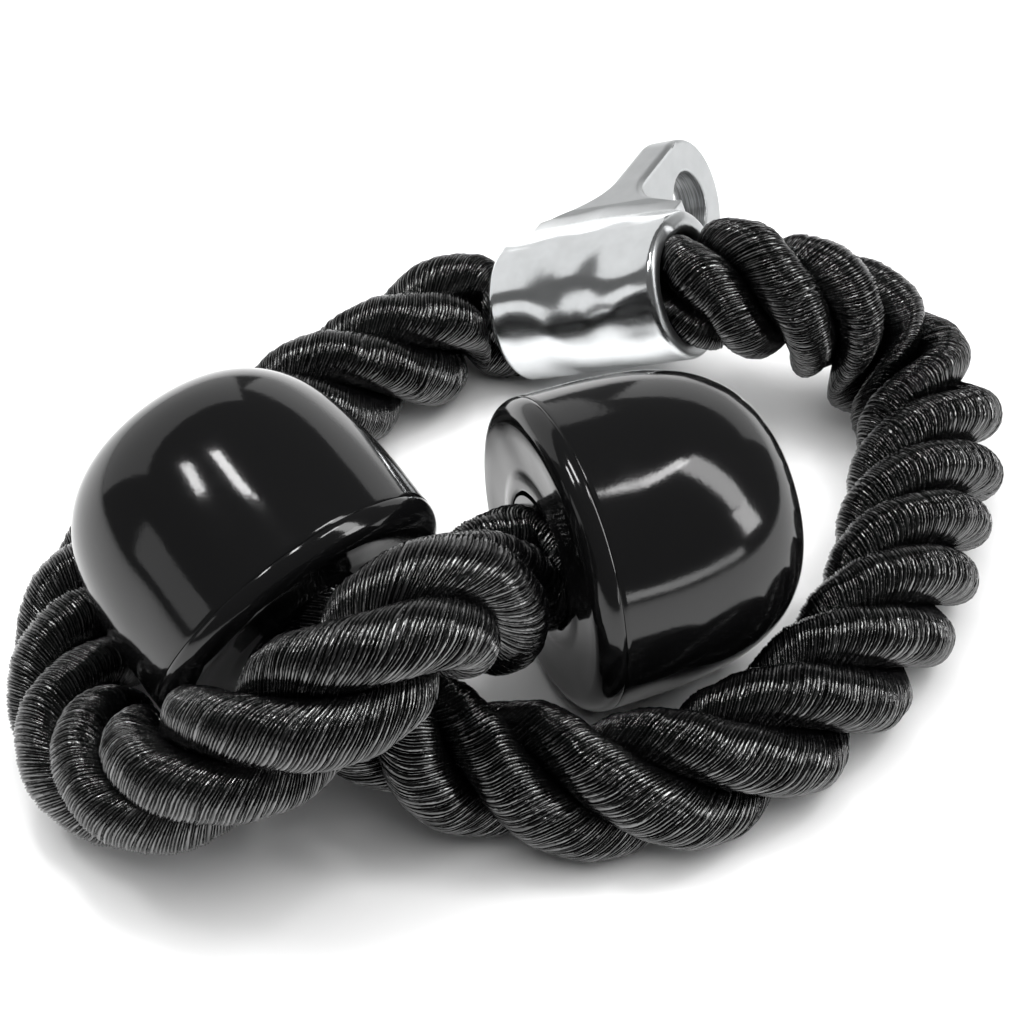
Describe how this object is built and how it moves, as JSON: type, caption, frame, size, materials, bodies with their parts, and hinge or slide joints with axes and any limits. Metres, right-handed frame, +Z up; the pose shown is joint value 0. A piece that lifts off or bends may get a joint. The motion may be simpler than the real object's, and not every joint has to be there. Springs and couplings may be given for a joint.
{
  "type": "triceps rope attachment",
  "caption": "Short thick rope through a cast metal collar with an eye for a cable machine's hook, with a domed black stopper on each rope end as a hand stop.",
  "frame": {"origin": "centre of the base of the box round the collar and the two stoppers, on the surface that the object lies on", "axes": "+Z up from that surface; +Y from the stoppers towards the collar's lug; +X towards the raised end of the collar's barrel"},
  "size_m": [0.1872, 0.2445, 0.0806],
  "materials": {
    "cast_aluminium": "polished barrel, satin lug face",
    "black_rope": "three-strand laid nylon, slight sheen",
    "gloss_black": "high gloss",
    "plated_steel": "zinc plated",
    "crimped_aluminium": "crimped, matte"
  },
  "bodies": {
    "rope_and_collar": {"collar_casting": "cast_aluminium", "rope_in_collar": "black_rope", "rope_leg_a": "black_rope", "rope_leg_b": "black_rope", "rope_end_a": "black_rope", "rope_end_b": "black_rope", "washer_a": "plated_steel", "washer_b": "plated_steel", "ferrule_a": "crimped_aluminium", "ferrule_b": "crimped_aluminium"},
    "stopper_a": {"stopper_a_shell": "gloss_black", "stopper_a_back_cap": "gloss_black"},
    "stopper_b": {"stopper_b_shell": "gloss_black", "stopper_b_back_cap": "gloss_black"}
  },
  "joints": [
    {"name": "stopper_a_swivel", "type": "hinge", "parent": "rope_and_collar", "child": "stopper_a", "pos_m": [-0.0171, -0.08111, 0.0386], "axis": [-0.8112, 0.4683, 0.3502], "continuous": true},
    {"name": "stopper_b_swivel", "type": "hinge", "parent": "rope_and_collar", "child": "stopper_b", "pos_m": [0.0185, -0.04411, 0.034], "axis": [0.7431, 0.6691, 0], "continuous": true}
  ]
}
